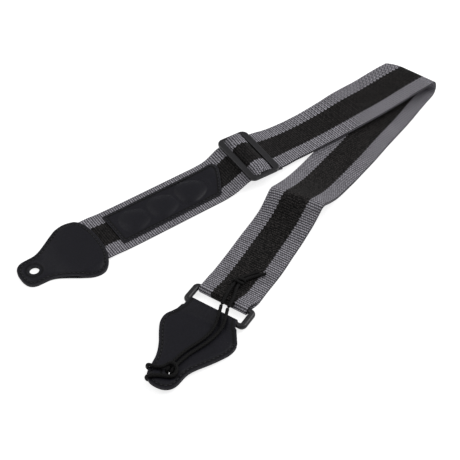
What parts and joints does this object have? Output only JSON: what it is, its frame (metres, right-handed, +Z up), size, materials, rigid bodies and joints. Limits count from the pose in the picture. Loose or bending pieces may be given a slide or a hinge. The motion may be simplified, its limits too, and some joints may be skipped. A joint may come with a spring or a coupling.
{
  "type": "guitar strap",
  "caption": "Adjustable webbing guitar strap laid folded in a V, with leather ends, a slide buckle, a ring, a pick holder and a tie lace.",
  "frame": {"origin": "middle of the outline, on the surface the strap lies on", "axes": "+X from the first leather tab along its run of webbing towards the fold, +Y away from the second run, +Z up"},
  "size_m": [0.4352, 0.1972, 0.0226],
  "materials": {
    "webbing": "woven polypropylene, black with grey edge stripes",
    "leather": "black leather, semi-matt",
    "thread": "black sewing thread",
    "plastic": "moulded black plastic",
    "lace": "round braided black cord"
  },
  "bodies": {
    "strap": {"webbing_tab_end": "webbing", "webbing_run_1_upper": "webbing", "webbing_run_1_lower": "webbing", "webbing_fold_outer": "webbing", "webbing_fold_inner": "webbing", "webbing_run_2_lower": "webbing", "webbing_run_2_upper": "webbing", "tab_a_lower": "leather", "tab_a_upper": "leather", "tab_a_stitching": "thread", "pick_holder_base": "leather", "pick_pocket_1": "leather", "pick_pocket_2": "leather", "pick_pocket_3": "leather", "pick_holder_stitching": "thread"},
    "slider": {"slider": "plastic", "webbing_slider_wrap": "webbing", "webbing_end_loop": "webbing"},
    "strap_end": {"webbing_ring_loop": "webbing", "lace_left": "lace", "lace_right": "lace", "lace_knot": "lace"},
    "ring": {"ring": "plastic"},
    "tab_b": {"tab_b_upper": "leather", "tab_b_lower": "leather", "tab_b_stitching": "thread", "lace_hitch": "lace"}
  },
  "joints": [
    {"name": "slider_slide", "type": "slide", "parent": "strap", "child": "slider", "axis": [1, 0, 0], "range_m": [-0.012, 0.04], "deforming": ["webbing_tab_end", "webbing_run_1_upper", "webbing_run_1_lower"]},
    {"name": "strap_end_slide", "type": "slide", "parent": "strap", "child": "strap_end", "axis": [-0.9373, -0.3486, 0], "range_m": [-0.006, 0.02], "deforming": ["webbing_run_2_lower", "webbing_run_2_upper"]},
    {"name": "ring_hinge", "type": "hinge", "parent": "strap_end", "child": "ring", "pos_m": [-0.09689, -0.04784, 0.00405], "axis": [-0.3746, 0.9272, 0], "range_deg": [-90, 90], "deforming": ["lace_hitch", "lace_left", "lace_right"]},
    {"name": "tab_b_hinge", "type": "hinge", "parent": "ring", "child": "tab_b", "pos_m": [-0.11182, -0.05387, 0.00405], "axis": [-0.3746, 0.9272, 0], "range_deg": [-90, 90], "deforming": ["lace_hitch", "lace_left", "lace_right"]}
  ],
  "couplings": [
    {"joint": "strap_end_slide", "follows": "slider_slide", "ratio": 0.5}
  ]
}
